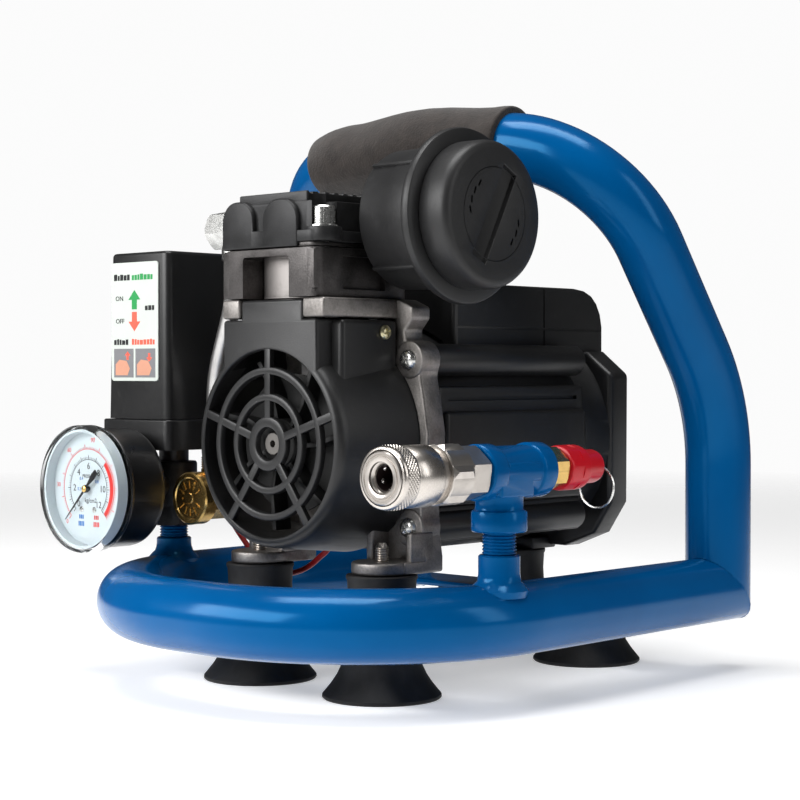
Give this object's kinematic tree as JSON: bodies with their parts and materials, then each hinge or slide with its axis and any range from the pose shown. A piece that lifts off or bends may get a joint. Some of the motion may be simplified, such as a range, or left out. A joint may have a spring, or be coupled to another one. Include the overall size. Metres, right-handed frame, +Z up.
{
  "type": "air compressor",
  "caption": "Portable oil-free air compressor in a tubular tank frame with carry handle, fan-cooled pump and motor, pressure gauge, pull switch, quick coupler and relief valve.",
  "frame": {"origin": "bottom centre of the whole machine's bounding box, on the floor under the suction feet", "axes": "+Z up; -Y towards the fan grille, gauge and coupler; +X towards the tee and the intake filter"},
  "size_m": [0.2439, 0.2622, 0.2598],
  "materials": {
    "bearing_front": "polished",
    "bearing_rear": "polished",
    "capacitor_box": "satin black",
    "check_valve": "machined",
    "cooling_fan": "satin black",
    "cord_gland": "satin black",
    "coupler_body": "nickel plated",
    "coupler_sleeve": "nickel plated, knurled",
    "cover_screw": "zinc plated",
    "crankcase": "raw grained die casting",
    "cylinder": "honed",
    "cylinder_bracket": "dark cast",
    "cylinder_head": "black cast",
    "discharge_pipe": "satin",
    "eccentric": "machined",
    "exhaust_elbow": "nickel plated",
    "fan_cover": "satin black",
    "filter_body": "satin black",
    "filter_element": "felt",
    "filter_lid": "satin black",
    "foot_front_left": "matte",
    "foot_front_right": "matte",
    "foot_rear_left": "matte",
    "foot_rear_right": "matte",
    "gauge_case": "satin black",
    "gauge_dial": "printed",
    "gauge_lens": "clear",
    "gauge_needle": "satin black",
    "handle_grip": "soft matte foam",
    "head_screw_1": "zinc plated",
    "head_screw_2": "zinc plated",
    "head_screw_3": "zinc plated",
    "head_screw_4": "zinc plated",
    "manifold": "dark metal",
    "motor_housing": "satin black",
    "motor_lead": "red insulation",
    "motor_rear_cover": "satin black",
    "motor_screw_1": "zinc plated",
    "motor_screw_2": "zinc plated",
    "motor_screw_3": "zinc plated",
    "motor_screw_4": "zinc plated",
    "mount_front_left": "matte",
    "mount_front_right": "matte",
    "mount_rear": "matte",
    "piston_rod": "cast",
    "piston_seal": "satin",
    "rotor": "machined",
    "safety_body": "machined",
    "safety_cap": "anodised red",
    "safety_ring": "plated wire",
    "safety_stem": "machined",
    "stator": "laminated",
    "switch_base": "satin black",
    "switch_cover": "satin black",
    "switch_label": "printed",
    "tank_handle": "gloss blue paint",
    "tank_hoop": "gloss blue paint",
    "tee": "gloss blue paint",
    "valve_plate": "satin"
  },
  "bodies": {
    "machine": {"bearing_front": "bearing_front", "bearing_rear": "bearing_rear", "capacitor_box": "capacitor_box", "check_valve": "check_valve", "cord_gland": "cord_gland", "coupler_body": "coupler_body", "cover_screw": "cover_screw", "crankcase": "crankcase", "cylinder": "cylinder", "cylinder_bracket": "cylinder_bracket", "cylinder_head": "cylinder_head", "discharge_pipe": "discharge_pipe", "exhaust_elbow": "exhaust_elbow", "fan_cover": "fan_cover", "filter_body": "filter_body", "filter_element": "filter_element", "foot_front_left": "foot_front_left", "foot_front_right": "foot_front_right", "foot_rear_left": "foot_rear_left", "foot_rear_right": "foot_rear_right", "gauge_case": "gauge_case", "gauge_dial": "gauge_dial", "gauge_lens": "gauge_lens", "handle_grip": "handle_grip", "head_screw_1": "head_screw_1", "head_screw_2": "head_screw_2", "head_screw_3": "head_screw_3", "head_screw_4": "head_screw_4", "manifold": "manifold", "motor_housing": "motor_housing", "motor_lead": "motor_lead", "motor_rear_cover": "motor_rear_cover", "motor_screw_1": "motor_screw_1", "motor_screw_2": "motor_screw_2", "motor_screw_3": "motor_screw_3", "motor_screw_4": "motor_screw_4", "mount_front_left": "mount_front_left", "mount_front_right": "mount_front_right", "mount_rear": "mount_rear", "safety_body": "safety_body", "safety_cap": "safety_cap", "stator": "stator", "switch_base": "switch_base", "tank_handle": "tank_handle", "tank_hoop": "tank_hoop", "tee": "tee", "valve_plate": "valve_plate"},
    "shaft": {"rotor": "rotor", "eccentric": "eccentric", "cooling_fan": "cooling_fan"},
    "piston": {"piston_rod": "piston_rod", "piston_seal": "piston_seal"},
    "needle": {"gauge_needle": "gauge_needle"},
    "switch_cap": {"switch_cover": "switch_cover", "switch_label": "switch_label"},
    "sleeve": {"coupler_sleeve": "coupler_sleeve"},
    "relief_stem": {"safety_stem": "safety_stem"},
    "relief_ring": {"safety_ring": "safety_ring"},
    "filter_cap": {"filter_lid": "filter_lid"}
  },
  "joints": [
    {"name": "shaft_spin", "type": "hinge", "parent": "machine", "child": "shaft", "pos_m": [0.007, -0.04775, 0.1074], "axis": [0, 1, 0], "continuous": true},
    {"name": "piston_stroke", "type": "slide", "parent": "machine", "child": "piston", "axis": [0, 0, 1], "range_m": [-0.0045, 0.0045]},
    {"name": "needle_turn", "type": "hinge", "parent": "machine", "child": "needle", "pos_m": [-0.093, -0.09425, 0.085], "axis": [0, 1, 0], "range_deg": [0, 270], "stiffness_Nm_per_rad": 0.0002, "springref_deg": -11.46},
    {"name": "switch_pull", "type": "slide", "parent": "machine", "child": "switch_cap", "axis": [0, 0, 1], "range_m": [0, 0.008]},
    {"name": "sleeve_release", "type": "slide", "parent": "machine", "child": "sleeve", "axis": [0, 1, 0], "range_m": [0, 0.0035], "stiffness_N_per_m": 1200, "springref_m": -0.003},
    {"name": "relief_pull", "type": "slide", "parent": "machine", "child": "relief_stem", "axis": [0, 1, 0], "range_m": [0, 0.002], "stiffness_N_per_m": 2500, "springref_m": -0.002},
    {"name": "ring_swing", "type": "hinge", "parent": "relief_stem", "child": "relief_ring", "pos_m": [0.107, 0.02335, 0.098], "axis": [1, 0, 0], "range_deg": [-30, 100]},
    {"name": "filter_lid_twist", "type": "hinge", "parent": "machine", "child": "filter_cap", "pos_m": [0.087, -0.02625, 0.2035], "axis": [1, 0, 0], "range_deg": [0, 60]}
  ]
}
